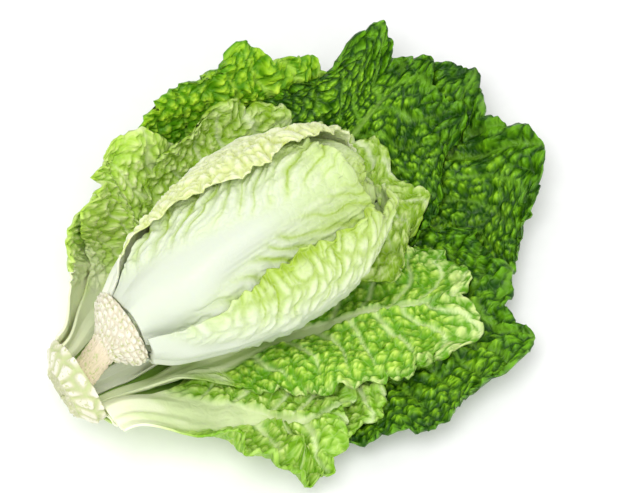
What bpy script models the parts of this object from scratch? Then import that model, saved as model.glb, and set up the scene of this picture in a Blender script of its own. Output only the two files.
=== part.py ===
# A napa cabbage lying on a surface, its outer leaves splayed open round the closed inner head.
# Metres, +Z up. The cut end of the stem is at -X and the head's tip at +X.

from math import cos, pi, radians, sin

import bmesh
import bpy
import numpy as np

# Driving dimensions of the head, which is an egg lying along X
HEAD_LENGTH = 0.192
HEAD_CORE_RADIUS = 0.048
HEAD_BASE_RADIUS = 0.0115
HEAD_WIDEST_AT = 0.62
HEAD_AXIS_HEIGHT = 0.1090
HEAD_FLATTENING = 0.93
HEAD_LAYERS = 0.0205
CLEFT_DEPTH = 0.009
CLEFT_ANGLE = radians(54)
CLEFT_HALF_WIDTH = radians(15)

# The stem: a cut stump, the ring that the outer stalks grow from, a neck, and the scarred ring
# under the head
STUMP_END_X = -0.055
STUMP_RADIUS = 0.0185
STUMP_DROP = 0.042
RING_FACE_X = -0.0410
RING_RADIUS = 0.0300
NECK_RADIUS = 0.0100
SCAR_RING_X = -0.022
SCAR_RING_RADIUS = 0.0260
SCAR_RELIEF = 0.0012
STEM_TOP_X = 0.066
HEART_START = 0.086

# The bowl of outer leaves
BOWL_BASE_RADIUS = 0.0325
BOWL_FLARE = 0.028
BOWL_BASE_LIFT = 0.0375
BOWL_END_LIFT = 0.050
BACK_SLOPE = radians(56)
FRONT_SLOPE = radians(17)
BASE_SLOPE_BACK = radians(105)
BASE_SLOPE_FRONT = radians(52)
STALK_START_X = -0.0404

# Leaves
BLADE_THICKNESS = 0.0009
LAYER_GAP = 0.0008
HEAD_LAYER_GAP = 0.0018
NEIGHBOUR_GAP = 0.0008
PRESSED_FLAT_BELOW = 0.048
FREE_ABOVE = 0.082
OUTER_RIB = 0.0024
THIN_STALK_RIB = 0.18
HEAD_RIB = 0.0040
HEAD_RIB_HALF_WIDTH = 0.017
HEAD_EDGE_RUFFLE = 0.0016
HEAD_RUFFLE_SPACING = 0.0065
HEAD_REST_CLEARANCE = 0.0005
LOBE_DEPTH = 0.04
LOBE_SPACING = 0.013
SIDES_DRAWN_BACK = 0.13
TIP_SCALLOP = 0.020
RUFFLE_SPACING = 0.0085
HEART_FOLD_STEP = 0.0030
FLAT_SPOT_X = (0.055, 0.165)
FLAT_SPOT_HALF_WIDTH = 0.016
REST_CLEARANCE = 0.0006

# The middle of the whole object's box before it is moved to the origin
CENTRE_X = 0.1423
CENTRE_Y = -0.0060

# Outer leaves from the lowest up: name, place of the stalk round the stem, heading of the tip in
# degrees, share of the length by which it is reached, length, half widths of the blade and of
# the stalk, where the blade starts to widen, rise towards the tip, ruffle height, ruffle phase
OUTER_LEAVES = (
    ("outer_leaf_far", -0.006, 4, 0.5, 0.382, 0.108, 0.014, 0.10, 0.004, 0.009, 0.4),
    ("outer_leaf_far_low", -0.032, -23, 0.6, 0.314, 0.086, 0.013, 0.10, 0.002, 0.009, 1.3),
    ("outer_leaf_back", 0.029, 30, 0.6, 0.310, 0.108, 0.014, 0.10, 0.006, 0.010, 1.8),
    ("outer_leaf_left", 0.062, 54, 0.7, 0.142, 0.056, 0.020, 0.10, 0.004, 0.008, 0.2),
    ("outer_leaf_bottom", -0.045, -72, 1.3, 0.206, 0.064, 0.013, 0.10, 0.002, 0.009, 5.6),
    ("outer_leaf_far_top", 0.017, 15, 0.5, 0.365, 0.088, 0.012, 0.10, 0.008, 0.010, 4.2),
    ("outer_leaf_top_left", 0.052, 45, 0.6, 0.205, 0.074, 0.016, 0.10, 0.006, 0.009, 4.4),
    ("outer_leaf_bottom_left", -0.058, -42, 0.7, 0.162, 0.054, 0.018, 0.06, 0.002, 0.009, 5.1),
    ("outer_leaf_right_low", -0.020, -26, 0.7, 0.288, 0.062, 0.011, 0.10, 0.006, 0.009, 0.9),
    ("middle_leaf_end", 0.002, 8, 0.6, 0.296, 0.072, 0.008, 0.50, 0.014, 0.009, 1.9),
    ("middle_leaf_back", 0.028, 38, 0.6, 0.270, 0.068, 0.010, 0.24, 0.022, 0.010, 2.8),
)

# Head leaves from the inside out: name, heading round the axis in degrees, start along the
# outline, length, half angle at the base, at the widest and at the tip, in degrees
HEAD_LEAVES = (
    ("head_leaf_inner_back", 130, 0.000, 0.212, 58, 100, 70),
    ("head_leaf_inner_under", -75, 0.000, 0.215, 56, 96, 70),
    ("head_leaf_inner_front", 30, 0.000, 0.194, 54, 80, 60),
    ("head_leaf_under", -115, 0.000, 0.208, 58, 78, 55),
    ("head_leaf_front", 74, 0.000, 0.178, 56, 66, 58),
    ("head_leaf_side", -12, 0.000, 0.213, 54, 60, 52),
    ("head_leaf_cap", 186, 0.000, 0.206, 44, 82, 70),
)

PALE = (0.80, 0.86, 0.60)
LIGHT_GREEN = (0.42, 0.62, 0.20)
DARK_GREEN = (0.10, 0.30, 0.03)
CREAM = (0.85, 0.84, 0.68)


def smooth(value, low, high):
    """0 below low, 1 above high, with an easy slope between."""
    part = np.clip((value - low) / (high - low), 0.0, 1.0)
    return part * part * (3.0 - 2.0 * part)


# The head's outline, as points along it from the stem to the tip

def outline_radius(part):
    """The core's radius at a share of the head's length."""
    swell = 1.0 - (1.0 - HEAD_BASE_RADIUS / HEAD_CORE_RADIUS) * np.clip(
        1.0 - part / HEAD_WIDEST_AT, 0.0, 1.0
    ) ** 2.6
    beyond = np.clip((part - HEAD_WIDEST_AT) / (1.0 - HEAD_WIDEST_AT), 0.0, 1.0)
    return HEAD_CORE_RADIUS * swell * (1.0 - beyond**2.3) ** (1 / 2.3)


def head_outline(count=600):
    part = 1.0 - (1.0 - np.linspace(0.0, 1.0, count)) ** 2
    x = part * HEAD_LENGTH
    radius = outline_radius(part)
    along = np.concatenate(([0.0], np.cumsum(np.hypot(np.diff(x), np.diff(radius)))))
    slope_x, slope_r = np.gradient(x, along), np.gradient(radius, along)
    size = np.hypot(slope_x, slope_r)
    lean = smooth(along, 0.0, 0.05)
    normal_x = -slope_r / size * lean
    normal_r = np.sqrt(1.0 - normal_x**2)
    return along, x, radius, normal_x, normal_r


HEAD_OUTLINE = head_outline()


def cleft(x, angle):
    """How deep the cleft between the two front leaves is."""
    across = (angle - CLEFT_ANGLE) / CLEFT_HALF_WIDTH
    stretch = smooth(x, 0.035, 0.10) * (1.0 - smooth(x, 0.165, 0.200))
    return CLEFT_DEPTH * stretch * np.exp(-across * across)


def head_point(along, angle, height):
    """A point of the head: along its outline, round its axis from -Y over the top, and above it."""
    line, xs, radii, normals_x, normals_r = HEAD_OUTLINE
    x = np.interp(along, line, xs)
    radius = np.interp(along, line, radii) - cleft(x, angle)
    normal_x = np.interp(along, line, normals_x)
    normal_r = np.interp(along, line, normals_r)
    reach_y = radius + normal_r * height
    reach_z = radius * HEAD_FLATTENING + normal_r * height
    return np.stack(
        (
            x + normal_x * height,
            -np.cos(angle) * reach_y,
            HEAD_AXIS_HEIGHT + np.sin(angle) * reach_z,
        ),
        axis=-1,
    )


# The stem's line and radius

def stem_centre(x):
    """Height of the stem's middle, which drops towards the cut end."""
    return HEAD_AXIS_HEIGHT - STUMP_DROP * smooth(-x, 0.0, -STUMP_END_X)


def stem_radius(x):
    stump = STUMP_RADIUS + (RING_RADIUS - STUMP_RADIUS) * smooth(x, STUMP_END_X, STUMP_END_X + 0.009)
    neck = NECK_RADIUS + (SCAR_RING_RADIUS - NECK_RADIUS) * smooth(x, SCAR_RING_X, -0.006)
    inside = (HEAD_BASE_RADIUS - 0.0012) * (1.0 - 0.55 * smooth(x, 0.01, 0.07))
    return np.where(x <= RING_FACE_X, stump, np.where(x < -0.0015, neck, inside))


# The open bowl on which the outer leaves lie: flat in the middle, round the stem at its base,
# rising at the back and a little in front

BOWL_X = np.linspace(-0.08, 0.40, 161)
BOWL_W = np.linspace(-0.28, 0.28, 281)


def bowl_surface():
    x, across = np.meshgrid(BOWL_X, BOWL_W, indexing="ij")
    at_stem = 1.0 - smooth(x, -0.036, 0.060)
    wrap_radius = BOWL_BASE_RADIUS + BOWL_FLARE * smooth(x, -0.042, 0.010)
    back = across > 0
    steep = np.where(back, BACK_SLOPE, FRONT_SLOPE)
    steep = steep * (1.0 - 0.25 * smooth(x, 0.20, 0.34))
    opened = steep * smooth(np.abs(across), 0.036, 0.136)
    wrapped = np.abs(across) / wrap_radius
    wrapped = np.minimum(wrapped, np.where(back, BASE_SLOPE_BACK, BASE_SLOPE_FRONT))
    tilt = opened + (wrapped - opened) * at_stem
    step = BOWL_W[1] - BOWL_W[0]
    run = np.cos(tilt)
    rise = np.sin(tilt) * np.sign(across)
    middle = len(BOWL_W) // 2
    y = np.cumsum((run + np.roll(run, 1, axis=1)) / 2, axis=1) * step
    z = np.cumsum((rise + np.roll(rise, 1, axis=1)) / 2, axis=1) * step
    y = y - y[:, middle : middle + 1]
    z = z - z[:, middle : middle + 1]
    z = z + BOWL_END_LIFT * smooth(x, 0.20, 0.40) ** 1.2
    z = z + BOWL_BASE_LIFT * smooth(-x, -0.045, 0.040)
    points = np.stack((x, y, z), axis=-1)
    along = np.gradient(points, BOWL_X, axis=0)
    side = np.gradient(points, BOWL_W, axis=1)
    normals = np.cross(along, side)
    normals /= np.linalg.norm(normals, axis=-1, keepdims=True)
    return points, normals


BOWL_POINTS, BOWL_NORMALS = bowl_surface()


def sample(table, x, across):
    """Reads a table over the bowl between its points."""
    i = np.clip((x - BOWL_X[0]) / (BOWL_X[1] - BOWL_X[0]), 0, len(BOWL_X) - 1.001)
    j = np.clip((across - BOWL_W[0]) / (BOWL_W[1] - BOWL_W[0]), 0, len(BOWL_W) - 1.001)
    i0, j0 = i.astype(int), j.astype(int)
    fi, fj = i - i0, j - j0
    if table.ndim == 3:
        fi, fj = fi[..., None], fj[..., None]
    low = table[i0, j0] * (1 - fj) + table[i0, j0 + 1] * fj
    high = table[i0 + 1, j0] * (1 - fj) + table[i0 + 1, j0 + 1] * fj
    return low * (1 - fi) + high * fi


def bowl_point(x, across, height):
    normal = sample(BOWL_NORMALS, x, across)
    normal = normal / np.linalg.norm(normal, axis=-1, keepdims=True)
    return sample(BOWL_POINTS, x, across) + normal * height[..., None]


def inside_head_or_stem(points):
    """Whether points are inside the head's outside or the stem, with a little clearance."""
    x, y, z = points[..., 0], points[..., 1], points[..., 2]
    rise = z - HEAD_AXIS_HEIGHT
    part = np.clip(x / HEAD_LENGTH, 0.0, 1.0)
    core = outline_radius(np.clip(part * 0.97, 0.0, 1.0))
    outer = core + HEAD_LAYERS
    in_head = (y / outer) ** 2 + (rise / (outer - core * (1 - HEAD_FLATTENING))) ** 2 < 1.0
    in_head &= (x > -0.004) & (x < HEAD_LENGTH + HEAD_LAYERS)
    stem = np.hypot(y, z - stem_centre(x)) < stem_radius(x) + SCAR_RELIEF + NEIGHBOUR_GAP
    return in_head | (stem & (x > RING_FACE_X) & (x < 0.0))


def ceiling():
    """How high above the bowl a leaf may come before it meets the head or the stem."""
    steps = np.arange(0.0, 0.090, 0.0005)
    free = np.full(BOWL_POINTS.shape[:2], steps[-1])
    for step in steps[::-1]:
        free[inside_head_or_stem(BOWL_POINTS + BOWL_NORMALS * step)] = step
    return free - NEIGHBOUR_GAP


CEILING = ceiling()


# Leaf blades. A blade is a grid of rows from its base to its tip, with columns across it.

def leaf_shape(rows, columns):
    """Shares along and across the leaf: closer rows at the base, closer columns at the edges."""
    t = np.linspace(0.0, 1.0, rows + 1)[:, None] ** 1.12
    v = np.linspace(-1.0, 1.0, columns + 1)[None, :]
    v = v * (1.15 - 0.15 * v * v)
    return t + 0 * v, v + 0 * t


def leaf_half_width(t, stalk, widest, widens_from):
    grown = stalk + (widest - stalk) * smooth(t, widens_from, 0.66 + 0.5 * (widens_from - 0.10))
    return grown * (1.0 - 0.24 * smooth(t, 0.62, 1.0))


def edge_nearness(t, v):
    side = np.abs(v) ** 3 * smooth(t, 0.12, 0.40)
    tip = smooth(t, 0.72, 1.0)
    return 1.0 - (1.0 - side) * (1.0 - tip)


def rib_height(t, off_rib, stalk, rib):
    """The midrib's extra thickness, off_rib being the distance from its middle."""
    width = stalk * (1.0 - 0.84 * smooth(t, 0.0, 0.85)) + 0.002
    return rib * (1.0 - 0.86 * smooth(t, 0.10, 0.90)) * np.exp(-((off_rib / width) ** 2))


def solid_from_sheets(name, lower, upper, material):
    """A closed blade between two sheets of points that are split into triangles alike."""
    rows, columns = lower.shape[:2]
    bm = bmesh.new()
    faces = []
    sheets = []
    for sheet in (lower, upper):
        sheets.append([[bm.verts.new(p) for p in row] for row in sheet])
    for i in range(rows - 1):
        for j in range(columns - 1):
            for number, grid in enumerate(sheets):
                a, b = grid[i][j], grid[i + 1][j]
                c, d = grid[i + 1][j + 1], grid[i][j + 1]
                for corners in ((a, b, c), (a, c, d)):
                    faces.append(corners if number else corners[::-1])
    rim = [(i, 0) for i in range(rows)] + [(rows - 1, j) for j in range(1, columns)]
    rim += [(i, columns - 1) for i in range(rows - 2, -1, -1)]
    rim += [(0, j) for j in range(columns - 2, 0, -1)]
    for (i, j), (k, m) in zip(rim, rim[1:] + rim[:1]):
        a, b = sheets[0][i][j], sheets[0][k][m]
        c, d = sheets[1][k][m], sheets[1][i][j]
        faces += [(a, b, c), (a, c, d)]
    for corners in faces:
        bm.faces.new(corners)
    bmesh.ops.recalc_face_normals(bm, faces=bm.faces)
    return add_object(name, bm, material)


def add_object(name, bm, material):
    mesh = bpy.data.meshes.new(name)
    bmesh.ops.translate(bm, verts=bm.verts, vec=(-CENTRE_X, -CENTRE_Y, 0.0))
    bm.to_mesh(mesh)
    bm.free()
    mesh.materials.append(material)
    mesh.shade_smooth()
    thing = bpy.data.objects.new(name, mesh)
    COLLECTION.objects.link(thing)
    return thing


def new_material(name, colour, roughness):
    material = bpy.data.materials.new(name)
    material.use_nodes = True
    shader = material.node_tree.nodes["Principled BSDF"]
    shader.inputs["Base Color"].default_value = (*colour, 1.0)
    shader.inputs["Roughness"].default_value = roughness
    shader.inputs["Metallic"].default_value = 0.0
    return material


def corners_of(grid):
    return grid[:-1, :-1], grid[1:, :-1], grid[1:, 1:], grid[:-1, 1:]


def cell_shares(parts):
    """Points spread over a cell that is two triangles, as shares of its four corners."""
    for p in np.linspace(0.0, 1.0, parts):
        for q in np.linspace(0.0, 1.0, parts):
            if p >= q:
                yield 1.0 - p, p - q, q, 0.0
            else:
                yield 1.0 - q, 0.0, p, q - p


class Layers:
    """The height already filled over a surface of two coordinates, the second one round or not."""

    def __init__(self, low, high, step, turns):
        self.low = np.array(low)
        self.size = np.ceil((np.array(high) - self.low) / step).astype(int)
        self.step = (np.array(high) - self.low) / self.size
        self.top = np.full(tuple(self.size), -1.0)
        self.turns = turns

    def place(self, first, second):
        i = np.floor((first - self.low[0]) / self.step[0]).astype(int)
        j = np.floor((second - self.low[1]) / self.step[1]).astype(int)
        i = np.clip(i, 0, self.size[0] - 1)
        if self.turns:
            return i, j % self.size[1]
        return i, np.clip(j, 0, self.size[1] - 1)

    def settle(self, first, second, height, gap, passes=8, parts=11):
        """Raises a leaf's lower sheet until all of its triangles clear what is under them."""
        for _ in range(passes):
            lift = np.zeros(height.shape)
            for shares in cell_shares(parts):
                spot = self.place(
                    sum(s * c for s, c in zip(shares, corners_of(first))),
                    sum(s * c for s, c in zip(shares, corners_of(second))),
                )
                level = sum(s * c for s, c in zip(shares, corners_of(height)))
                short = np.maximum(self.top[spot] + gap - level, 0.0)
                weight = sum(s * s for s in shares)
                for share, view in zip(shares, corners_of(lift)):
                    np.maximum(view, short * share / weight, out=view)
            height = height + lift
        return height

    def fill(self, first, second, height, parts=13):
        """Raises the filled height to a new leaf's upper sheet, and a cell beyond its edge."""
        new = np.full(self.top.shape, -1.0)
        for shares in cell_shares(parts):
            spot = self.place(
                sum(s * c for s, c in zip(shares, corners_of(first))),
                sum(s * c for s, c in zip(shares, corners_of(second))),
            )
            level = sum(s * c for s, c in zip(shares, corners_of(height)))
            np.maximum.at(new, spot, level)
        for axis in (0, 1):
            new = np.maximum(new, np.maximum(np.roll(new, 1, axis), np.roll(new, -1, axis)))
        self.top = np.maximum(self.top, new)


def make_head_leaf(entry, layers, material, rows=12, columns=9):
    name, heading, start, length, base_half, wide_half, tip_half = entry
    t, v = leaf_shape(rows, columns)
    wide = radians(base_half) + radians(wide_half - base_half) * smooth(t, 0.0, 0.62)
    half_angle = wide + radians(tip_half - wide_half) * smooth(t, 0.72, 1.0)
    angle = radians(heading) + half_angle * v
    along = start + length * (t - 0.10 * v * v * smooth(t, 0.45, 1.0))
    radius = np.interp(along, HEAD_OUTLINE[0], HEAD_OUTLINE[2]) + 0.006
    off_rib = np.abs(half_angle * v) * radius
    thickness = BLADE_THICKNESS + rib_height(t, off_rib, HEAD_RIB_HALF_WIDTH, HEAD_RIB)
    wave = 0.5 + 0.5 * np.sin(along / HEAD_RUFFLE_SPACING + heading)
    ruffle = HEAD_EDGE_RUFFLE * edge_nearness(t, v) * wave
    height = layers.settle(along, angle, HEAD_REST_CLEARANCE + ruffle, HEAD_LAYER_GAP)
    layers.fill(along, angle, height + thickness)
    lower = head_point(along, angle, height)
    upper = head_point(along, angle, height + thickness)
    return solid_from_sheets(name, lower, upper, material)


def midrib_line(base_across, tip_heading, turned_by, length, t):
    """Places along a midrib that leaves the stem along X and turns towards its own side."""
    fine = np.linspace(0.0, 1.0, 400)
    heading = radians(tip_heading) * smooth(fine, 0.02, turned_by)
    step = length / 399
    x = STALK_START_X + np.concatenate(([0.0], np.cumsum(np.cos(heading[1:])))) * step
    across = base_across + np.concatenate(([0.0], np.cumsum(np.sin(heading[1:])))) * step
    return np.interp(t, fine, x), np.interp(t, fine, across), np.interp(t, fine, heading)


def make_outer_leaf(entry, layers, material, rows=16, columns=11):
    name, base_across, tip_heading, turned_by, length, widest, stalk = entry[:7]
    widens_from, rise, ruffle_height, phase = entry[7:]
    t, v = leaf_shape(rows, columns)
    half = leaf_half_width(t, stalk, widest, widens_from)
    scallop = TIP_SCALLOP * np.cos(8 * v + phase) * smooth(t, 0.7, 1.0)
    back = (SIDES_DRAWN_BACK * v * v * smooth(t, 0.35, 1.0) + scallop) * length
    lobe_wave = np.sin(t * length / LOBE_SPACING + phase) * smooth(t, 0.2, 0.5)
    lobes = 1.0 + LOBE_DEPTH * np.abs(v) ** 3 * lobe_wave
    x, across, heading = midrib_line(base_across, tip_heading, turned_by, length, t)
    offset = half * v * lobes
    x = x - np.sin(heading) * offset - np.cos(heading) * back
    across = across + np.cos(heading) * offset - np.sin(heading) * back
    rib = min(OUTER_RIB, THIN_STALK_RIB * stalk)
    thickness = BLADE_THICKNESS + rib_height(t, np.abs(half * v), stalk, rib)
    from_tip = (1.0 - t) * length + np.abs(v) * half
    wave = 0.5 + 0.5 * np.sin(from_tip / RUFFLE_SPACING + phase + 1.3 * v)
    room = sample(CEILING, x, across)
    lifted = rise * smooth(t, 0.25, 1.0) + ruffle_height * edge_nearness(t, v) * wave
    wanted = REST_CLEARANCE + lifted * smooth(room, PRESSED_FLAT_BELOW, FREE_ABOVE)
    roof = room - thickness
    wanted = np.minimum(wanted, np.maximum(roof, REST_CLEARANCE))
    height = layers.settle(x, across, wanted, LAYER_GAP)
    if name == OUTER_LEAVES[0][0]:
        spot = (x > FLAT_SPOT_X[0]) & (x < FLAT_SPOT_X[1])
        spot &= np.abs(across) < FLAT_SPOT_HALF_WIDTH
        thickness = np.where(spot, thickness + height, thickness)
        height = np.where(spot, 0.0, height)
    layers.fill(x, across, height + thickness)
    lower = bowl_point(x, across, height)
    upper = bowl_point(x, across, height + thickness)
    return solid_from_sheets(name, lower, upper, material)


def make_turned(name, centres, radii, relief, material, sides):
    """A closed solid along a line: one ring of points at each centre, with flat ends."""
    bm = bmesh.new()
    rings = []
    for number, (centre, radius) in enumerate(zip(centres, radii)):
        ring = []
        for k in range(sides):
            angle = 2 * pi * k / sides
            reach = radius + relief(number, angle)
            ring.append(
                bm.verts.new(
                    (centre[0], centre[1] - cos(angle) * reach, centre[2] + sin(angle) * reach)
                )
            )
        rings.append(ring)
    for one, two in zip(rings, rings[1:]):
        for k in range(sides):
            m = (k + 1) % sides
            bm.faces.new((one[k], one[m], two[m], two[k]))
    bm.faces.new(rings[0])
    bm.faces.new(rings[-1])
    bmesh.ops.recalc_face_normals(bm, faces=bm.faces)
    return add_object(name, bm, material)


def make_stem(material):
    xs = [STUMP_END_X + 0.0032 * k for k in range(5)] + [RING_FACE_X, RING_FACE_X + 0.0001]
    xs += [-0.034, SCAR_RING_X] + [SCAR_RING_X + 0.0026 * k for k in range(1, 8)]
    xs += [-0.0020, -0.0010, 0.010, 0.030, 0.055, STEM_TOP_X]
    centres = [(x, 0.0, float(stem_centre(x))) for x in xs]
    radii = [float(stem_radius(x)) for x in xs]

    def scars(number, angle):
        if xs[number] > -0.002 or abs(xs[number] - RING_FACE_X) < 0.002:
            return 0.0
        ring = 1.0 if number % 2 else 0.0
        return SCAR_RELIEF * (ring + 0.4 * sin(9 * angle + 2.4 * number)) - 0.4 * SCAR_RELIEF

    return make_turned("stem", centres, radii, scars, material, 28)


def make_heart(material):
    """The innermost leaves, packed round one another: each ends in a raised, waved edge."""
    line, xs, radii = HEAD_OUTLINE[:3]
    stations = np.linspace(HEART_START, line[-1] * 0.975, 15)
    places = np.interp(stations, line, xs)
    widths = np.interp(stations, line, radii)
    bm = bmesh.new()
    rings = []
    sides = 26
    for number, (x, width) in enumerate(zip(places, widths)):
        ring = []
        share = number / (len(places) - 1)
        for k in range(sides):
            angle = 2 * pi * k / sides
            turn = (3 * angle / (2 * pi) + 0.8 * share + 0.06 * sin(6 * pi * share)) % 1.0
            fold = turn - 1.0 if turn > 0.15 else -turn / 0.15
            room = width - float(cleft(x, angle)) - 0.0012
            reach = room * (0.80 + 0.16 * share) + HEART_FOLD_STEP * fold
            ring.append(
                bm.verts.new(
                    (
                        x - 0.004,
                        -cos(angle) * reach,
                        HEAD_AXIS_HEIGHT + sin(angle) * reach * HEAD_FLATTENING,
                    )
                )
            )
        rings.append(ring)
    for one, two in zip(rings, rings[1:]):
        for k in range(sides):
            m = (k + 1) % sides
            bm.faces.new((one[k], one[m], two[m], two[k]))
    bm.faces.new(rings[0])
    bm.faces.new(rings[-1])
    bmesh.ops.recalc_face_normals(bm, faces=bm.faces)
    return add_object("heart", bm, material)


for thing in list(bpy.data.objects):
    bpy.data.objects.remove(thing, do_unlink=True)

COLLECTION = bpy.data.collections.new("napa_cabbage")
bpy.context.scene.collection.children.link(COLLECTION)

pale = new_material("pale_leaf", PALE, 0.45)
light_green = new_material("light_green_leaf", LIGHT_GREEN, 0.5)
dark_green = new_material("dark_green_leaf", DARK_GREEN, 0.5)
cream = new_material("stem_cream", CREAM, 0.6)

make_stem(cream)
make_heart(pale)

head_layers = Layers((0.0, 0.0), (HEAD_OUTLINE[0][-1], 2 * pi), (0.002, 0.03), True)
for entry in HEAD_LEAVES:
    make_head_leaf(entry, head_layers, pale)

bowl_layers = Layers((-0.08, -0.28), (0.40, 0.28), 0.002, False)
for entry in OUTER_LEAVES:
    name = entry[0]
    if name.startswith("middle"):
        material = pale
    elif "far" in name:
        material = dark_green
    else:
        material = light_green
    make_outer_leaf(entry, bowl_layers, material)
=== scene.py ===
"""The look of a napa cabbage that lies on a surface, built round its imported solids."""

from math import cos, pi, radians, sin

import bpy
import numpy as np
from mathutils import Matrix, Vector


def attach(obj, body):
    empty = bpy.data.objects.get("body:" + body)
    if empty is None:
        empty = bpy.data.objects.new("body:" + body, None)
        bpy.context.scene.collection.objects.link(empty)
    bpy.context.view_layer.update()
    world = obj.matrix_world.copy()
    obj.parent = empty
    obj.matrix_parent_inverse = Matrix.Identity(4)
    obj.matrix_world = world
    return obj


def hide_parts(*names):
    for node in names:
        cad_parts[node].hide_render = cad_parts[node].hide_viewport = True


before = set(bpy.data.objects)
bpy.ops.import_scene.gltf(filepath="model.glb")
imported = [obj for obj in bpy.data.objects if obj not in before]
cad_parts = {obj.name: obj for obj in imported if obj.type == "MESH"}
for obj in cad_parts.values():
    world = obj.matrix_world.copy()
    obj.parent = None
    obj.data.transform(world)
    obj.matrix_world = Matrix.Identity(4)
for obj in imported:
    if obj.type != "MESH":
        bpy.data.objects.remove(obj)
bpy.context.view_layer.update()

# Stem
# The stem is a short solid stump of cream flesh, cut rough at its end, with a ring from which the
# outer stalks grow, a narrow neck, and a second ring of leaf scars where middle leaves were
# pulled off. It grew in one piece with the heart's core.

STEM_TOP_X = 0.066
CENTRE_X = 0.1423
CENTRE_Y = -0.0060
HEAD_AXIS_HEIGHT = 0.1090
HEAD_BASE_RADIUS = 0.0115
STUMP_END_X = -0.055
STUMP_RADIUS = 0.0185
STUMP_DROP = 0.042
RING_FACE_X = -0.0410
RING_RADIUS = 0.0300
NECK_RADIUS = 0.0100
SCAR_RING_X = -0.022
SCAR_RING_RADIUS = 0.0260
NEIGHBOUR_GAP = 0.0008
SCAR_RELIEF = 0.0012
SCARS_ROUND = 27
SCAR_LENGTH = 0.0034
STRINGS_ROUND = 17
STRING_LENGTH = 0.0095
FIBRE_RELIEF = 0.0006
CUT_CELL = 0.0032


def smooth(value, low, high):
    """0 below low, 1 above high, with an easy slope between."""
    part = np.clip((value - low) / (high - low), 0.0, 1.0)
    return part * part * (3.0 - 2.0 * part)


def scatter(i, j, seed):
    """An even random number from 0 to 1 for each whole-number place."""
    value = np.sin(i * 127.1 + j * 311.7 + seed * 74.7) * 43758.5453
    return value - np.floor(value)


def rolling(x, y, seed):
    """Smooth random hills from -1 to 1, about one unit wide."""
    i, j = np.floor(x), np.floor(y)
    fx, fy = smooth(x - i, 0.0, 1.0), smooth(y - j, 0.0, 1.0)
    low = scatter(i, j, seed) * (1 - fx) + scatter(i + 1, j, seed) * fx
    high = scatter(i, j + 1, seed) * (1 - fx) + scatter(i + 1, j + 1, seed) * fx
    return 2.0 * (low * (1 - fy) + high * fy) - 1.0


def blisters(x, y, seed):
    """A net of veins about one unit wide: 0 on a vein and 1 on a blister's middle."""
    i0, j0 = np.floor(x), np.floor(y)
    first = np.full(x.shape, 9.0)
    second = np.full(x.shape, 9.0)
    for di in (-1, 0, 1):
        for dj in (-1, 0, 1):
            i, j = i0 + di, j0 + dj
            away = np.hypot(
                i + 0.15 + 0.7 * scatter(i, j, seed) - x,
                j + 0.15 + 0.7 * scatter(i, j, seed + 5) - y,
            )
            second = np.minimum(second, np.maximum(first, away))
            first = np.minimum(first, away)
    return smooth(second - first, 0.0, 0.55)


def stem_centre(x):
    """Height of the stem's middle, which drops towards the cut end."""
    return HEAD_AXIS_HEIGHT - STUMP_DROP * smooth(-x, 0.0, -STUMP_END_X)


def stem_radius(x):
    stump = STUMP_RADIUS + (RING_RADIUS - STUMP_RADIUS) * smooth(
        x, STUMP_END_X, STUMP_END_X + 0.009
    )
    neck = NECK_RADIUS + (SCAR_RING_RADIUS - NECK_RADIUS) * smooth(x, SCAR_RING_X, -0.006)
    inside = (HEAD_BASE_RADIUS - 0.0012) * (1.0 - 0.55 * smooth(x, 0.01, 0.07))
    return np.where(x <= RING_FACE_X, stump, np.where(x < -0.0015, neck, inside))


def add_piece(name, points, faces, uv, masks, material, node):
    """A shown mesh with its flat map and masks, which stands for one node of the solids."""
    mesh = bpy.data.meshes.new(name)
    points = points - np.array((CENTRE_X, CENTRE_Y, 0.0))
    mesh.from_pydata(points.tolist(), [], faces)
    layer = mesh.uv_layers.new(name="flat")
    corners = np.empty(len(mesh.loops), dtype=np.int32)
    mesh.loops.foreach_get("vertex_index", corners)
    layer.uv.foreach_set("vector", uv[corners].astype(np.float32).ravel())
    for mask_name, values in masks.items():
        mask = mesh.attributes.new(mask_name, "FLOAT", "POINT")
        mask.data.foreach_set("value", values.astype(np.float32).ravel())
    mesh.materials.append(material)
    mesh.shade_smooth()
    mesh.validate()
    piece = bpy.data.objects.new(name, mesh)
    bpy.context.scene.collection.objects.link(piece)
    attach(piece, "root")
    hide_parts(node)
    return piece


def node_material(name):
    material = bpy.data.materials.new(name)
    material.use_nodes = True
    tree = material.node_tree
    shader = tree.nodes["Principled BSDF"]
    return material, tree, shader


def new_node(tree, kind, **settings):
    node = tree.nodes.new(kind)
    for key, value in settings.items():
        setattr(node, key, value)
    return node


def mix_colours(tree, share, one, two, blend="MIX"):
    """A colour between two, each of which is a socket or a fixed colour."""
    node = new_node(tree, "ShaderNodeMix", data_type="RGBA", blend_type=blend, clamp_factor=True)
    for place, value in ((0, share), (6, one), (7, two)):
        if isinstance(value, bpy.types.NodeSocket):
            tree.links.new(value, node.inputs[place])
        elif place == 0:
            node.inputs[0].default_value = value
        else:
            node.inputs[place].default_value = (*value, 1.0)
    return node.outputs[2]


def between(tree, value, from_low, from_high, to_low=0.0, to_high=1.0):
    node = new_node(tree, "ShaderNodeMapRange", interpolation_type="SMOOTHSTEP")
    tree.links.new(value, node.inputs["Value"])
    node.inputs["From Min"].default_value = from_low
    node.inputs["From Max"].default_value = from_high
    node.inputs["To Min"].default_value = to_low
    node.inputs["To Max"].default_value = to_high
    return node.outputs["Result"]


def combine(tree, operation, one, two):
    node = new_node(tree, "ShaderNodeMath", operation=operation)
    for place, value in enumerate((one, two)):
        if isinstance(value, bpy.types.NodeSocket):
            tree.links.new(value, node.inputs[place])
        else:
            node.inputs[place].default_value = value
    return node.outputs[0]


def mask_of(tree, name):
    return new_node(tree, "ShaderNodeAttribute", attribute_name=name).outputs["Fac"]


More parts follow.
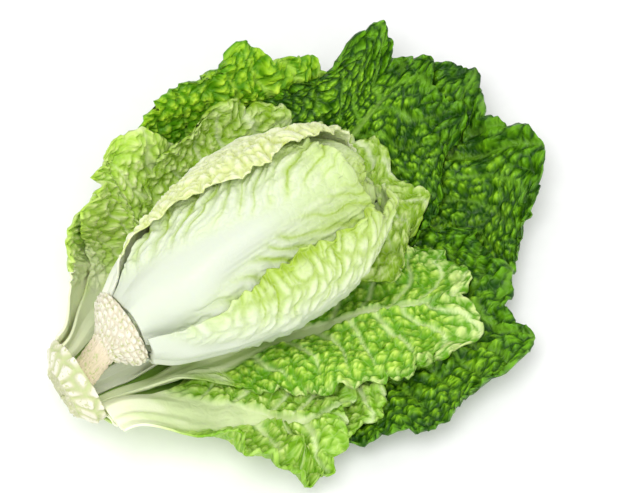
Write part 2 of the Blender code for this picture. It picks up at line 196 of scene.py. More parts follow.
def plant_flesh_group():
    """Fine mottling and pores of moist plant flesh, from a place on the piece."""
    group = bpy.data.node_groups.new("plant_flesh", "ShaderNodeTree")
    faces = group.interface
    faces.new_socket("Place", in_out="INPUT", socket_type="NodeSocketVector")
    size = faces.new_socket("Grain Scale", in_out="INPUT", socket_type="NodeSocketFloat")
    size.default_value = 300.0
    for output in ("Mottle", "Grain", "Height"):
        faces.new_socket(output, in_out="OUTPUT", socket_type="NodeSocketFloat")
    start = new_node(group, "NodeGroupInput")
    end = new_node(group, "NodeGroupOutput")
    broad = new_node(group, "ShaderNodeTexNoise")
    broad.inputs["Scale"].default_value = 60.0
    broad.inputs["Detail"].default_value = 4.0
    fine = new_node(group, "ShaderNodeTexNoise")
    fine.inputs["Detail"].default_value = 3.0
    group.links.new(start.outputs["Place"], broad.inputs["Vector"])
    group.links.new(start.outputs["Place"], fine.inputs["Vector"])
    group.links.new(start.outputs["Grain Scale"], fine.inputs["Scale"])
    height = combine(group, "ADD", broad.outputs["Fac"], fine.outputs["Fac"])
    group.links.new(between(group, broad.outputs["Fac"], 0.3, 0.7), end.inputs["Mottle"])
    group.links.new(between(group, fine.outputs["Fac"], 0.3, 0.7), end.inputs["Grain"])
    group.links.new(height, end.inputs["Height"])
    return group


PLANT_FLESH = plant_flesh_group()


def use_group(tree, group, **values):
    node = new_node(tree, "ShaderNodeGroup", node_tree=group)
    for key, value in values.items():
        socket = node.inputs[key.replace("_", " ")]
        if isinstance(value, bpy.types.NodeSocket):
            tree.links.new(value, socket)
        else:
            socket.default_value = value
    return node


def object_place(tree):
    return new_node(tree, "ShaderNodeTexCoord").outputs["Object"]


def add_bump(tree, shader, height, strength, distance):
    bump = new_node(tree, "ShaderNodeBump")
    bump.inputs["Strength"].default_value = strength
    bump.inputs["Distance"].default_value = distance
    tree.links.new(height, bump.inputs["Height"])
    tree.links.new(bump.outputs["Normal"], shader.inputs["Normal"])


def stem_material():
    """Cream flesh, green in pits, with painted shade: browner between ridges and pinker in the neck.
    """
    material, tree, shader = node_material("stem_flesh")
    flesh = use_group(tree, PLANT_FLESH, Place=object_place(tree), Grain_Scale=420.0)
    body = mix_colours(tree, flesh.outputs["Mottle"], (0.74, 0.72, 0.56), (0.80, 0.79, 0.67))
    # Painted shade: the lows between the scars go browner, and the neck goes pinker beige.
    ridge = mix_colours(tree, mask_of(tree, "ridge"), (0.62, 0.52, 0.37), body)
    ridge = mix_colours(tree, mask_of(tree, "painted_neck_shade"), ridge, (0.74, 0.64, 0.47))
    low = combine(tree, "SUBTRACT", 1.0, mask_of(tree, "ridge"))
    low = combine(tree, "MULTIPLY", low, mask_of(tree, "stump"))
    ridge = mix_colours(tree, low, ridge, (0.50, 0.58, 0.26))
    pits = between(tree, flesh.outputs["Grain"], 0.0, 0.35)
    green = mix_colours(tree, pits, (0.54, 0.57, 0.28), ridge)
    tree.links.new(green, shader.inputs["Base Color"])
    rough = between(tree, flesh.outputs["Grain"], 0.0, 1.0, 0.42, 0.62)
    tree.links.new(rough, shader.inputs["Roughness"])
    shader.inputs["Coat Weight"].default_value = 0.08
    add_bump(tree, shader, flesh.outputs["Height"], 0.5, 0.0012)
    return material


def build_stem():
    """Rings along the stem's line. The cut end is broken into fibres and the scars stand proud."""
    sides = 180
    end_steps = np.linspace(0.0, 1.0, 16)[1:]
    xs = np.concatenate(
        (
            np.linspace(STUMP_END_X, RING_FACE_X, 26),
            np.linspace(RING_FACE_X + 0.0001, SCAR_RING_X, 20),
            np.linspace(SCAR_RING_X + 0.0006, -0.0016, 40),
            np.linspace(-0.0010, STEM_TOP_X, 24),
        )
    )
    angle = np.linspace(0.0, 2 * pi, sides, endpoint=False)[None, :]
    x = xs[:, None] + 0 * angle
    radius = stem_radius(x)
    round_stem = angle / (2 * pi)
    scar_row = x / SCAR_LENGTH + 0.5 * np.sin(2 * angle)
    scar = blisters(round_stem * SCARS_ROUND, scar_row, 3)
    string = blisters(round_stem * STRINGS_ROUND + 60 * x, x / STRING_LENGTH, 14)
    at_stump = 1.0 - smooth(x, RING_FACE_X, RING_FACE_X + 0.002)
    in_neck = (1.0 - at_stump) * (1.0 - smooth(x, SCAR_RING_X - 0.002, SCAR_RING_X + 0.004))
    scar = scar * (1.0 - at_stump) + string * at_stump
    fibre = rolling(angle * 18 / pi, x / 0.012, 8) + rolling(angle * 45 / pi, x / 0.008, 12)
    open_part = smooth(-x, -0.001, 0.004)
    relief = SCAR_RELIEF * (2.1 * scar - 1.2) * (1.0 - 0.75 * in_neck) + FIBRE_RELIEF * fibre
    radius = radius + open_part * relief
    points = np.stack((x, -np.cos(angle) * radius, stem_centre(x) + np.sin(angle) * radius), -1)
    # High on the scars and fibres. Its lows get painted shade, and on the cut end they turn green as
    # well.
    ridge = 0.35 + 0.65 * scar - 0.35 * at_stump * (1.0 - scar)
    rings, ridges = [points], [ridge + 0 * angle]
    # Mask of the painted pinkish shade in the neck.
    painted_neck_shade = np.concatenate((np.zeros((len(end_steps), sides)), in_neck))
    stump = np.concatenate((np.ones((len(end_steps), sides)), at_stump))
    face = points[0]
    middle = np.array((STUMP_END_X, 0.0, float(stem_centre(STUMP_END_X))))
    for step in end_steps:
        ring = middle + (face - middle) * (1.0 - step)
        stringy = rolling(angle[0] * 12 / pi, np.full(sides, step * 3.0), 4)
        cells = blisters(ring[:, 1] / CUT_CELL, ring[:, 2] / CUT_CELL, 6)
        ring[:, 0] += (0.0016 * stringy + 0.0012 * cells - 0.0010) * smooth(step, 0.0, 0.15)
        rings.insert(0, ring[None])
        ridges.insert(0, (0.25 + 0.75 * cells)[None])
    points = np.concatenate(rings)
    ridge = np.concatenate(ridges)
    count = len(points)
    number = np.arange(count * sides).reshape(count, sides)
    after = np.roll(number, -1, axis=1)
    faces = np.stack((number[:-1], after[:-1], after[1:], number[1:]), -1).reshape(-1, 4)
    faces = faces.tolist() + [number[-1].tolist()]
    uv = np.stack((angle / 6 + 0 * points[..., 0], points[..., 0]), -1).reshape(-1, 2)
    add_piece(
        "stem_flesh",
        points.reshape(-1, 3),
        faces,
        uv,
        {"ridge": ridge.ravel(), "painted_neck_shade": painted_neck_shade.ravel(), "stump": stump.ravel()},
        stem_material(),
        "stem",
    )


build_stem()

# Head leaves
# The closed head is wrapped leaves that curve over one another from the stem to the tip. Each has
# a thick smooth white midrib on its outer face that fans into rounded ribs, and a thin pale
# yellow-green blade. They are held only by their bases on the stem and by each other.

HEAD_LENGTH = 0.192
HEAD_CORE_RADIUS = 0.048
HEAD_WIDEST_AT = 0.62
HEAD_FLATTENING = 0.93
HEAD_LAYERS = 0.0205
CLEFT_DEPTH = 0.009
CLEFT_ANGLE = radians(54)
CLEFT_HALF_WIDTH = radians(15)
BLADE_THICKNESS = 0.0009
HEAD_LAYER_GAP = 0.0018
HEAD_RIB = 0.0040

# From the inside out: name, heading round the axis in degrees, start along the outline, length,
# half angles at the base, at the widest and at the tip in degrees, and rows and columns of mesh
HEAD_LEAVES = (
    ("head_leaf_inner_back", 130, 0.000, 0.212, 58, 100, 70, 60, 60),
    ("head_leaf_inner_under", -75, 0.000, 0.215, 56, 96, 70, 60, 60),
    ("head_leaf_inner_front", 30, 0.000, 0.194, 54, 80, 60, 90, 90),
    ("head_leaf_under", -115, 0.000, 0.208, 58, 78, 55, 60, 60),
    ("head_leaf_front", 74, 0.000, 0.178, 56, 66, 58, 200, 170),
    ("head_leaf_side", -12, 0.000, 0.213, 54, 60, 52, 200, 160),
    ("head_leaf_cap", 186, 0.000, 0.206, 44, 82, 70, 170, 180),
)


def outline_radius(part):
    """The head core's radius at a share of its length."""
    swell = 1.0 - (1.0 - HEAD_BASE_RADIUS / HEAD_CORE_RADIUS) * np.clip(
        1.0 - part / HEAD_WIDEST_AT, 0.0, 1.0
    ) ** 2.6
    beyond = np.clip((part - HEAD_WIDEST_AT) / (1.0 - HEAD_WIDEST_AT), 0.0, 1.0)
    return HEAD_CORE_RADIUS * swell * (1.0 - beyond**2.3) ** (1 / 2.3)


def head_outline(count=600):
    part = 1.0 - (1.0 - np.linspace(0.0, 1.0, count)) ** 2
    x = part * HEAD_LENGTH
    radius = outline_radius(part)
    along = np.concatenate(([0.0], np.cumsum(np.hypot(np.diff(x), np.diff(radius)))))
    slope_x, slope_r = np.gradient(x, along), np.gradient(radius, along)
    size = np.hypot(slope_x, slope_r)
    lean = smooth(along, 0.0, 0.05)
    normal_x = -slope_r / size * lean
    normal_r = np.sqrt(1.0 - normal_x**2)
    return along, x, radius, normal_x, normal_r


HEAD_OUTLINE = head_outline()


def cleft(x, angle):
    """How deep the cleft between the two front leaves is."""
    across = (angle - CLEFT_ANGLE) / CLEFT_HALF_WIDTH
    stretch = smooth(x, 0.035, 0.10) * (1.0 - smooth(x, 0.165, 0.200))
    return CLEFT_DEPTH * stretch * np.exp(-across * across)


def head_point(along, angle, height):
    """A point by its place along the outline, round the axis from -Y over the top, and height."""
    line, xs, radii, normals_x, normals_r = HEAD_OUTLINE
    x = np.interp(along, line, xs)
    radius = np.interp(along, line, radii) - cleft(x, angle)
    normal_x = np.interp(along, line, normals_x)
    normal_r = np.interp(along, line, normals_r)
    reach_y = radius + normal_r * height
    reach_z = radius * HEAD_FLATTENING + normal_r * height
    return np.stack(
        (
            x + normal_x * height,
            -np.cos(angle) * reach_y,
            HEAD_AXIS_HEIGHT + np.sin(angle) * reach_z,
        ),
        axis=-1,
    )


ROW_CROWDING = 1.12
COLUMN_CROWDING = 0.15


def crowded(line):
    """Even places across a leaf moved closer together towards its edges."""
    return line * (1.0 + COLUMN_CROWDING - COLUMN_CROWDING * line * line)


def leaf_shape(rows, columns):
    """Shares along and across the leaf: closer rows at the base, closer columns at the edges."""
    t = np.linspace(0.0, 1.0, rows + 1)[:, None] ** ROW_CROWDING
    v = crowded(np.linspace(-1.0, 1.0, columns + 1)[None, :])
    return t + 0 * v, v + 0 * t


def finer(coarse, t, v):
    """Values of a coarse leaf grid read smoothly at finer shares along and across."""
    rows, columns = coarse.shape[0] - 1, coarse.shape[1] - 1
    line = np.linspace(-1.0, 1.0, 400)
    across = (np.interp(v, crowded(line), line) + 1.0) / 2 * columns
    along = np.clip(t, 0.0, 1.0) ** (1 / ROW_CROWDING) * rows
    i = np.clip(np.floor(along).astype(int), 0, rows - 1)
    j = np.clip(np.floor(across).astype(int), 0, columns - 1)
    fi, fj = along - i, across - j
    low = coarse[i, j] * (1 - fj) + coarse[i, j + 1] * fj
    high = coarse[i + 1, j] * (1 - fj) + coarse[i + 1, j + 1] * fj
    return low * (1 - fi) + high * fi


def soften(grid, times):
    """Blurs a leaf's values with their neighbours."""
    for _ in range(times):
        for axis in (0, 1):
            ahead = np.roll(grid, -1, axis)
            behind = np.roll(grid, 1, axis)
            if axis == 0:
                ahead[-1], behind[0] = grid[-1], grid[0]
            else:
                ahead[:, -1], behind[:, 0] = grid[:, -1], grid[:, 0]
            grid = (ahead + 2 * grid + behind) / 4
    return grid


def spread(grid, times):
    """Each value becomes the largest of its neighbours."""
    for _ in range(times):
        wide = grid.copy()
        wide[1:] = np.maximum(wide[1:], grid[:-1])
        wide[:-1] = np.maximum(wide[:-1], grid[1:])
        grid = wide.copy()
        grid[:, 1:] = np.maximum(grid[:, 1:], wide[:, :-1])
        grid[:, :-1] = np.maximum(grid[:, :-1], wide[:, 1:])
    return grid


def edge_nearness(t, v):
    side = np.abs(v) ** 3 * smooth(t, 0.12, 0.40)
    tip = smooth(t, 0.72, 1.0)
    return 1.0 - (1.0 - side) * (1.0 - tip)


def rib_height(t, off_rib, stalk, rib):
    """The midrib's extra thickness, off_rib being the distance from its middle."""
    width = stalk * (1.0 - 0.84 * smooth(t, 0.0, 0.85)) + 0.002
    return rib * (1.0 - 0.86 * smooth(t, 0.10, 0.90)) * np.exp(-((off_rib / width) ** 2))


def corners_of(grid):
    return grid[:-1, :-1], grid[1:, :-1], grid[1:, 1:], grid[:-1, 1:]


def cell_shares(parts):
    """Points spread over a cell that is two triangles, as shares of its four corners."""
    for p in np.linspace(0.0, 1.0, parts):
        for q in np.linspace(0.0, 1.0, parts):
            if p >= q:
                yield 1.0 - p, p - q, q, 0.0
            else:
                yield 1.0 - q, 0.0, p, q - p


class Layers:
    """The height already filled over a surface of two coordinates, the second one round or not."""

    def __init__(self, low, high, step, turns):
        self.low = np.array(low)
        self.size = np.ceil((np.array(high) - self.low) / step).astype(int)
        self.step = (np.array(high) - self.low) / self.size
        self.top = np.full(tuple(self.size), -1.0)
        self.turns = turns

    def place(self, first, second):
        i = np.floor((first - self.low[0]) / self.step[0]).astype(int)
        j = np.floor((second - self.low[1]) / self.step[1]).astype(int)
        i = np.clip(i, 0, self.size[0] - 1)
        if self.turns:
            return i, j % self.size[1]
        return i, np.clip(j, 0, self.size[1] - 1)

    def settle(self, first, second, height, gap, passes=8, parts=11):
        """Raises a coarse leaf's lower sheet until its triangles clear what is under them."""
        for _ in range(passes):
            lift = np.zeros(height.shape)
            for shares in cell_shares(parts):
                spot = self.place(
                    sum(s * c for s, c in zip(shares, corners_of(first))),
                    sum(s * c for s, c in zip(shares, corners_of(second))),
                )
                level = sum(s * c for s, c in zip(shares, corners_of(height)))
                short = np.maximum(self.top[spot] + gap - level, 0.0)
                weight = sum(s * s for s in shares)
                for share, view in zip(shares, corners_of(lift)):
                    np.maximum(view, short * share / weight, out=view)
            height = height + lift
        return height

    def drape(self, first, second, height, gap, passes=3):
        """Lifts a fine leaf off what is under it, in soft swells."""
        for _ in range(passes):
            short = np.maximum(self.top[self.place(first, second)] + gap - height, 0.0)
            height = height + soften(spread(short, 2), 3)
        return height

    def fill(self, first, second, height, parts=13):
        """Raises the filled height to a new leaf's upper sheet, and a cell beyond its edge."""
        new = np.full(self.top.shape, -1.0)
        for shares in cell_shares(parts):
            spot = self.place(
                sum(s * c for s, c in zip(shares, corners_of(first))),
                sum(s * c for s, c in zip(shares, corners_of(second))),
            )
            level = sum(s * c for s, c in zip(shares, corners_of(height)))
            np.maximum.at(new, spot, level)
        for axis in (0, 1):
            new = np.maximum(new, np.maximum(np.roll(new, 1, axis), np.roll(new, -1, axis)))
        self.top = np.maximum(self.top, new)


def rim_of(number):
    """The numbers of a grid's outer points, in order round it."""
    return np.concatenate((number[:, 0], number[-1, 1:], number[-2::-1, -1], number[0, -2:0:-1]))


def lowest_near(grid):
    """Each value becomes the lowest of its neighbours, so that a coarser sheet stays below it."""
    return -spread(-grid, 1)


def add_leaf(name, lower, upper, offset, along, masks, material):
    """A closed blade: a fine upper sheet, and a lower one with every second row and column."""
    number = np.arange(upper.shape[0] * upper.shape[1]).reshape(upper.shape[:2])
    a, b, c, d = corners_of(number)
    over = np.stack((a, b, c, d), -1).reshape(-1, 4).tolist()
    half_lower = lower[::2, ::2]
    half_number = np.arange(half_lower.shape[0] * half_lower.shape[1]) + number.size
    half_number = half_number.reshape(half_lower.shape[:2])
    a, b, c, d = corners_of(half_number)
    under = np.stack((a, d, c, b), -1).reshape(-1, 4).tolist()
    top_rim = rim_of(number)
    low_rim = rim_of(half_number)
    low_after = np.roll(low_rim, -1)
    top_after = np.roll(top_rim, -2)[::2]
    sides = np.stack((low_rim, low_after, top_after, top_rim[1::2], top_rim[::2]), -1).tolist()
    points = np.concatenate((upper.reshape(-1, 3), half_lower.reshape(-1, 3)))
    i, j = upper.shape[0] // 2, upper.shape[1] // 2
    up = np.cross(upper[i + 1, j] - upper[i, j], upper[i, j + 1] - upper[i, j])
    faces = over + under + sides
    if np.dot(upper[i, j] - lower[i, j], up) < 0:
        faces = [corners[::-1] for corners in faces]
    uv = np.stack((offset, along), -1)
    uv = np.concatenate((uv.reshape(-1, 2), uv[::2, ::2].reshape(-1, 2)))
    both = {
        key: np.concatenate((value.ravel(), value[::2, ::2].ravel())) for key, value in masks.items()
    }
    return add_piece(
        name + "_blade", points, faces, uv, both, material, name
    )


def vein_net_group():
    """The net of thin veins in a blade and its height, from a flat place in metres."""
    group = bpy.data.node_groups.new("vein_net", "ShaderNodeTree")
    faces = group.interface
    faces.new_socket("Place", in_out="INPUT", socket_type="NodeSocketVector")
    size = faces.new_socket("Net Scale", in_out="INPUT", socket_type="NodeSocketFloat")
    size.default_value = 180.0
    for output in ("Vein", "Height"):
        faces.new_socket(output, in_out="OUTPUT", socket_type="NodeSocketFloat")
    start = new_node(group, "NodeGroupInput")
    end = new_node(group, "NodeGroupOutput")
    bend = new_node(group, "ShaderNodeTexNoise")
    bend.inputs["Scale"].default_value = 90.0
    shift = new_node(group, "ShaderNodeVectorMath", operation="MULTIPLY_ADD")
    shift.inputs[1].default_value = (0.006, 0.006, 0.0)
    group.links.new(start.outputs["Place"], bend.inputs["Vector"])
    group.links.new(bend.outputs["Color"], shift.inputs[0])
    group.links.new(start.outputs["Place"], shift.inputs[2])
    edge = new_node(group, "ShaderNodeTexVoronoi", feature="DISTANCE_TO_EDGE")
    group.links.new(shift.outputs["Vector"], edge.inputs["Vector"])
    group.links.new(start.outputs["Net Scale"], edge.inputs["Scale"])
    dome = between(group, edge.outputs["Distance"], 0.0, 0.32)
    vein = between(group, edge.outputs["Distance"], 0.0, 0.09, 1.0, 0.0)
    group.links.new(vein, end.inputs["Vein"])
    group.links.new(dome, end.inputs["Height"])
    return group


VEIN_NET = vein_net_group()


def leaf_material(name, blade, shade_colour, pale_and_highlight, vein_colour, rib_colour, rim_colour, net_scale,
                  net_show, bump, rough_low, rough_high):
    """Blade colours mottled and netted with veins, with painted shade in creases and painted
    highlight on blister tops, running into a pale rib.
    """
    material, tree, shader = node_material(name)
    place = new_node(tree, "ShaderNodeUVMap", uv_map="flat").outputs["UV"]
    net = use_group(tree, VEIN_NET, Place=place, Net_Scale=net_scale)
    flesh = use_group(tree, PLANT_FLESH, Place=place, Grain_Scale=700.0)
    mottle = combine(tree, "MULTIPLY", flesh.outputs["Mottle"], 0.35)
    # Painted highlight on ridge and blister tops, mixed towards the pale colour together with the
    # random paler mottling.
    mottle_and_highlight = combine(tree, "MAXIMUM", mottle, mask_of(tree, "painted_highlight"))
    colour = mix_colours(tree, mottle_and_highlight, blade, pale_and_highlight)
    colour = mix_colours(tree, mask_of(tree, "rim"), colour, rim_colour)
    # Painted shade in creases, folds, the cleft and the lip groove.
    colour = mix_colours(tree, mask_of(tree, "painted_crease_shade"), colour, shade_colour)
    lines = combine(tree, "MULTIPLY", net.outputs["Vein"], net_show)
    colour = mix_colours(tree, lines, colour, vein_colour)
    colour = mix_colours(tree, mask_of(tree, "vein"), colour, rib_colour)
    tree.links.new(colour, shader.inputs["Base Color"])
    rough = between(tree, flesh.outputs["Grain"], 0.0, 1.0, rough_low, rough_high)
    tree.links.new(rough, shader.inputs["Roughness"])
    shader.inputs["Coat Weight"].default_value = 0.03
    shader.inputs["Specular IOR Level"].default_value = 0.2
    shader.inputs["Subsurface Weight"].default_value = 0.14
    shader.inputs["Subsurface Radius"].default_value = (0.8, 1.0, 0.3)
    shader.inputs["Subsurface Scale"].default_value = 0.004
    bare = combine(tree, "SUBTRACT", 1.0, mask_of(tree, "vein"))
    height = combine(tree, "MULTIPLY", net.outputs["Height"], bare)
    grain = combine(tree, "MULTIPLY", flesh.outputs["Height"], 0.25)
    add_bump(tree, shader, combine(tree, "ADD", height, grain), bump, 0.0013)
    return material


HEAD_BLADE = leaf_material(
    "head_blade",
    blade=(0.51, 0.66, 0.23), shade_colour=(0.32, 0.47, 0.03), pale_and_highlight=(0.66, 0.75, 0.44),
    vein_colour=(0.70, 0.76, 0.54), rib_colour=(0.61, 0.66, 0.54), rim_colour=(0.53, 0.70, 0.19),
    net_scale=170.0, net_show=0.12, bump=0.35, rough_low=0.32, rough_high=0.5,
)
CAP_BLADE = leaf_material(
    "cap_blade",
    blade=(0.72, 0.80, 0.40), shade_colour=(0.50, 0.59, 0.11), pale_and_highlight=(0.80, 0.85, 0.54),
    vein_colour=(0.83, 0.87, 0.66), rib_colour=(0.84, 0.87, 0.74), rim_colour=(0.77, 0.83, 0.48),
    net_scale=200.0, net_show=0.15, bump=0.4, rough_low=0.34, rough_high=0.52,
)


# For each leaf: how far its side ribs lean forward on either side of the midrib, their spacing,
# how far out they are white, and the half width of its midrib at the base and at the tip
HEAD_FLUTES = {
    "head_leaf_front": (3.0, 1.8, 0.0125, 0.060, 0.025, 0.0030),
    "head_leaf_side": (0.8, 0.85, 0.0125, 0.030, 0.029, 0.0110),
    "head_leaf_cap": (0.9, 0.9, 0.0110, 0.030, 0.020, 0.0025),
}
OTHER_FLUTES = (0.9, 0.9, 0.0120, 0.030, 0.026, 0.0025)
HEAD_RIB_HALF_WIDTH = 0.017
HEAD_EDGE_RUFFLE = 0.0016
HEAD_RUFFLE_SPACING = 0.0065
HEAD_REST_CLEARANCE = 0.0005
DRAPE_GAP = 0.0003
SHOWN_THICKNESS = 0.0008
FLUTE_HEIGHT = 0.0026
HEAD_BLISTER_HEIGHT = 0.0016
HEAD_CRINKLE_HEIGHT = 0.0006
LIP_DEPTH = 0.0012
CAP_CRUMPLE_HEIGHT = 0.0020
STRAND_HEIGHT = 0.0011
HEAD_CURL_HEIGHT = 0.0030
HEAD_CURL_SPACING = 0.0042
HEAD_FRINGE_HEIGHT = 0.0014
HEAD_FRINGE_SPACING = 0.0016


def make_head_leaf(entry, coarse_layers, layers, material):
    """One wrapped leaf: settled on a coarse grid over the last one, then given its fine form."""
    name, heading, start, length, base_half, wide_half, tip_half, rows, columns = entry

    def flat_place(t, v):
        wide = radians(base_half) + radians(wide_half - base_half) * smooth(t, 0.0, 0.62)
        half = wide + radians(tip_half - wide_half) * smooth(t, 0.72, 1.0)
        place = start + length * (t - 0.10 * v * v * smooth(t, 0.45, 1.0))
        radius = np.interp(place, HEAD_OUTLINE[0], HEAD_OUTLINE[2]) + 0.006
        return place, radians(heading) + half * v, half * v * radius, half * radius

    t, v = leaf_shape(12, 9)
    along, angle, offset, half = flat_place(t, v)
    thickness = BLADE_THICKNESS + rib_height(t, np.abs(offset), HEAD_RIB_HALF_WIDTH, HEAD_RIB)
    wave = 0.5 + 0.5 * np.sin(along / HEAD_RUFFLE_SPACING + heading)
    wanted = HEAD_REST_CLEARANCE + HEAD_EDGE_RUFFLE * edge_nearness(t, v) * wave
    height = coarse_layers.settle(along, angle, wanted, HEAD_LAYER_GAP)
    coarse_layers.fill(along, angle, height + thickness)

    fine_t, fine_v = leaf_shape(rows, columns)
    form = soften(finer(height, fine_t, fine_v), max(rows // 26, 2))
    seed = heading * 0.37
    along, angle, offset, half = flat_place(fine_t, fine_v)
    side = np.abs(offset)
    edge = edge_nearness(fine_t, fine_v)
    scallop = rolling(along / 0.007, fine_v * 2, seed + 2)
    scallop = scallop + 0.6 * rolling(along / 0.003, fine_v, seed)
    angle = angle + np.sign(fine_v) * edge**2 * 0.0030 / np.maximum(half, 0.02) * scallop
    tip_wave = rolling(offset / 0.008, 0 * offset, seed + 4)
    along = along + 0.0030 * smooth(fine_t, 0.8, 1.0) * tip_wave
    stretch = 1.0 - smooth(fine_t, 0.0, 0.86)
    lean_low, lean_high, spacing, white_reach, rib_base, rib_tip = HEAD_FLUTES.get(
        name, OTHER_FLUTES
    )
    lean = np.where(fine_v < 0, lean_low, lean_high)
    rib_half = rib_tip + (rib_base - rib_tip) * stretch
    rib = 1.0 - smooth(side, 0.72 * rib_half, 1.45 * rib_half)
    wobble = 0.55 * rolling(offset / 0.020, along / 0.024, seed + 1)
    wobble = wobble + 0.25 * rolling(offset / 0.008, along / 0.010, seed + 13)
    leant = along - lean * side * (1.0 - side / 0.16)
    flute = leant / spacing / np.sqrt(1 + 0.4 * lean**2) * 1.2
    flute = flute + wobble + 0.5 * (fine_v > 0)
    off_crease = np.abs(flute - np.round(flute)) * 2
    depth = 0.55 + 0.45 * rolling(np.round(flute) * 1.7, side / 0.022, seed + 17)
    ridge = 1.0 - (1.0 - off_crease) ** 2.4 * depth
    open_blade = 1.0 - rib
    net = blisters(flute * 1.5, side / 0.011, seed + 3)
    fine_net = blisters(flute * 3.3, side / 0.0048, seed + 7)
    fade = smooth(side - 0.7 * rib_half, 0.0, 0.016)
    detail = FLUTE_HEIGHT * ridge * fade
    detail = detail + HEAD_BLISTER_HEIGHT * net * fade * smooth(side, 0.012, 0.03)
    detail = detail + HEAD_CRINKLE_HEIGHT * fine_net * open_blade
    lip = np.zeros(side.shape)
    if name == "head_leaf_front":
        lip = np.exp(-(((side - 1.15 * rib_half) / 0.004) ** 2)) * (fine_v < 0)
        lip = lip * smooth(fine_t, 0.06, 0.14) * (1.0 - smooth(fine_t, 0.34, 0.56))
        detail = detail - LIP_DEPTH * lip
    if name == "head_leaf_cap":
        crumple = 1.0 - np.abs(rolling(offset / 0.014, along / 0.022, seed + 21))
        detail = detail + CAP_CRUMPLE_HEIGHT * crumple**2.5 * smooth(fine_t, 0.3, 0.6)
    strands = rolling(angle / 0.032, along / 0.16, seed + 9)
    in_cleft = cleft(np.interp(along, HEAD_OUTLINE[0], HEAD_OUTLINE[1]), angle) / CLEFT_DEPTH
    detail = detail + STRAND_HEIGHT * strands * smooth(in_cleft, 0.2, 0.7)
    ruffled = 0.85 if name == "head_leaf_cap" else 1.0
    large_curl = 0.5 + 0.5 * np.sin(along / HEAD_CURL_SPACING + 2 * wobble + heading)
    fringe = 0.5 + 0.5 * np.sin(along / HEAD_FRINGE_SPACING + 5 * wobble)
    curl = ruffled * edge**3 * (HEAD_CURL_HEIGHT * large_curl + HEAD_FRINGE_HEIGHT * fringe)
    relief = 1.0 if name in HEAD_FLUTES else 0.5
    height = form + relief * (detail + curl * smooth(fine_t, 0.1, 0.3))
    thickness = SHOWN_THICKNESS + rib_height(fine_t, side, HEAD_RIB_HALF_WIDTH, HEAD_RIB)
    height = layers.drape(along, angle, height, DRAPE_GAP)
    layers.fill(along, angle, height + thickness, 3)
    lower = head_point(along, angle, lowest_near(height))
    upper = head_point(along, angle, height + thickness)
    white_rib = 1.0 - smooth(side, 0.55 * rib_half, 1.9 * rib_half + 0.004)
    white_rib = white_rib * (1.0 if name in HEAD_FLUTES else 0.35)
    white_rib = white_rib * (1.0 - 0.75 * smooth(fine_t, 0.50, 0.92))
    flute_line = ridge**2 * (1.0 - smooth(side - rib_half, 0.0, white_reach)) * 0.8
    flute_line = flute_line * (1.0 - 0.7 * smooth(fine_t, 0.55, 0.95))
    # Painted shade in the flute creases and between the blisters; the crease mask below adds painted
    # shade in the cleft and the lip groove.
    shade_in_creases = (1.0 - smooth(off_crease, 0.0, 0.26)) * fade * np.clip(depth * 1.4, 0, 1)
    shade_in_creases = np.maximum(shade_in_creases, (1.0 - net) * 0.55 * smooth(side, 0.012, 0.03))
    # The highlight mask is painted highlight on the flute ridges and blisters.
    masks = {
        "vein": np.clip(np.maximum(white_rib, flute_line), 0, 1),
        "painted_crease_shade": np.clip(shade_in_creases * (1.0 - white_rib) + 0.6 * in_cleft + 0.25 * lip, 0, 1),
        "rim": edge**3 * 0.8,
        "painted_highlight": ridge * (0.4 + 0.6 * net) * open_blade,
    }
    add_leaf(name, lower, upper, offset, along, masks, material)


coarse_head = Layers((0.0, 0.0), (HEAD_OUTLINE[0][-1], 2 * pi), (0.002, 0.03), True)
fine_head = Layers((0.0, 0.0), (HEAD_OUTLINE[0][-1], 2 * pi), (0.0016, 0.025), True)
for entry in HEAD_LEAVES:
    leaf_finish = CAP_BLADE if entry[0] == "head_leaf_cap" else HEAD_BLADE
    make_head_leaf(entry, coarse_head, fine_head, leaf_finish)

# Heart
# In the middle of the head the youngest leaves are packed round the stem's end, each one a tight
# crinkled roll. They are one mass here, with the leaves' raised waved edges winding round it.

HEART_START = 0.086
HEART_FOLD_STEP = 0.0030
HEART_CRINKLE = 0.0006


def build_heart():
    line, xs, radii = HEAD_OUTLINE[:3]
    sides = 150
    stations = np.linspace(HEART_START, line[-1] * 0.975, 110)
    x = np.interp(stations, line, xs)[:, None]
    width = np.interp(stations, line, radii)[:, None]
    share = np.linspace(0.0, 1.0, len(stations))[:, None]
    angle = np.linspace(0.0, 2 * pi, sides, endpoint=False)[None, :]
    turn = (3 * angle / (2 * pi) + 0.8 * share + 0.06 * np.sin(6 * pi * share)) % 1.0
    step = HEART_FOLD_STEP * np.where(turn > 0.15, turn - 1.0, -turn / 0.15)
    crinkle = HEART_CRINKLE * blisters(share * 26, angle * 22 / pi, 2)
    reach = (width - cleft(x, angle) - 0.0012) * (0.80 + 0.16 * share) + step - crinkle
    points = np.stack(
        (
            x - 0.004 + 0 * angle,
            -np.cos(angle) * reach,
            HEAD_AXIS_HEIGHT + np.sin(angle) * reach * HEAD_FLATTENING,
        ),
        axis=-1,
    )
    count = len(stations)
    number = np.arange(count * sides).reshape(count, sides)
    after = np.roll(number, -1, axis=1)
    faces = np.stack((number[:-1], after[:-1], after[1:], number[1:]), -1).reshape(-1, 4).tolist()
    faces += [number[0][::-1].tolist(), number[-1].tolist()]
    uv = np.stack((angle * 0.04 + 0 * x, x + 0 * angle), -1).reshape(-1, 2)
    zero = np.zeros(count * sides)
    masks = {"vein": zero, "rim": zero, "painted_highlight": zero}
    # Painted shade at the foot of each fold edge of the roll.
    masks["painted_crease_shade"] = (smooth(turn, 0.3, 0.0) + 0 * x).ravel()
    add_piece(
        "heart_leaves", points.reshape(-1, 3), faces, uv, masks, CAP_BLADE, "heart"
    )


build_heart()


# Outer and middle leaves
# The outer leaves are large thin blistered blades, each on a thick flat pale stalk that grows from
# the stem's lower ring. They have been opened out flat, so they show their inner faces, with veins
# sunk between blisters, and lie on the surface and on one another. The middle leaves are paler.

